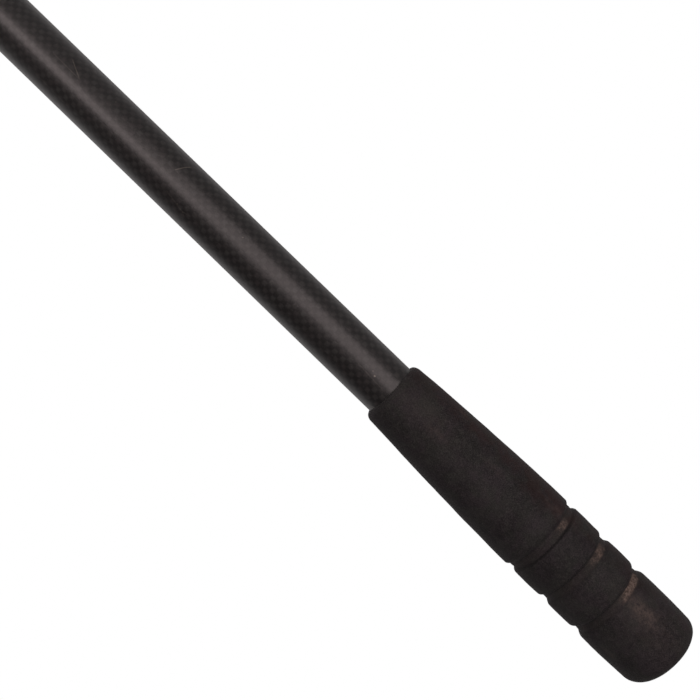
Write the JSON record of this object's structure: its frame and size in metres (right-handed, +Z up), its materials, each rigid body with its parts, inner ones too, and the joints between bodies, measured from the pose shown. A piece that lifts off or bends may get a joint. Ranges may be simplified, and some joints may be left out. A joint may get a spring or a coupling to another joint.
{
  "type": "curling broom",
  "caption": "Sweeping broom for curling: carbon tube shaft, flared foam grip with grooves, two-axis swivel and a long narrow head with a detachable fabric pad.",
  "frame": {"origin": "centre of the pad's sole, where the broom stands on the ice", "axes": "+Z up the shaft towards the grip, +X along the head, +Y to the head's rear"},
  "size_m": [0.2, 0.066, 1.2],
  "materials": {
    "carbon": "clear-coated plain weave, satin gloss",
    "grip_foam": "matte closed-cell foam, worn",
    "plug_plastic": "moulded",
    "insert_plastic": "turned nylon",
    "ferrule_plastic": "fine moulded grain",
    "swivel_plastic": "smooth acetal",
    "bush_plastic": "natural acetal",
    "stainless": "turned stainless steel",
    "head_plastic": "fine moulded grain",
    "plate_plastic": "moulded",
    "pad_foam": "closed-cell foam",
    "pad_fabric": "tight woven nylon"
  },
  "bodies": {
    "handle": {"shaft_tube": "carbon", "shaft_insert": "insert_plastic", "shaft_end_plug": "plug_plastic", "grip_sleeve": "grip_foam", "ferrule": "ferrule_plastic", "ferrule_screws": "stainless", "upper_pivot_bolt": "stainless", "upper_pivot_nut": "stainless", "upper_pivot_washers": "stainless"},
    "swivel": {"pivot_block": "swivel_plastic", "upper_bush_front": "bush_plastic", "upper_bush_rear": "bush_plastic", "lower_bush_left": "bush_plastic", "lower_bush_right": "bush_plastic"},
    "head": {"head_body": "head_plastic", "lower_pivot_bolt": "stainless", "lower_pivot_nut": "stainless", "lower_pivot_washers": "stainless"},
    "pad": {"pad_plate": "plate_plastic", "pad_foam": "pad_foam", "pad_cover": "pad_fabric"}
  },
  "joints": [
    {"name": "swivel_side_tilt", "type": "hinge", "parent": "handle", "child": "swivel", "pos_m": [0, 0, 0.062], "axis": [0, 1, 0], "range_deg": [-70, 70]},
    {"name": "head_tilt", "type": "hinge", "parent": "swivel", "child": "head", "pos_m": [0, 0, 0.036], "axis": [1, 0, 0], "range_deg": [-65, 65]},
    {"name": "pad_release", "type": "slide", "parent": "head", "child": "pad", "axis": [0, 0, -1], "range_m": [0, 0.03]}
  ]
}
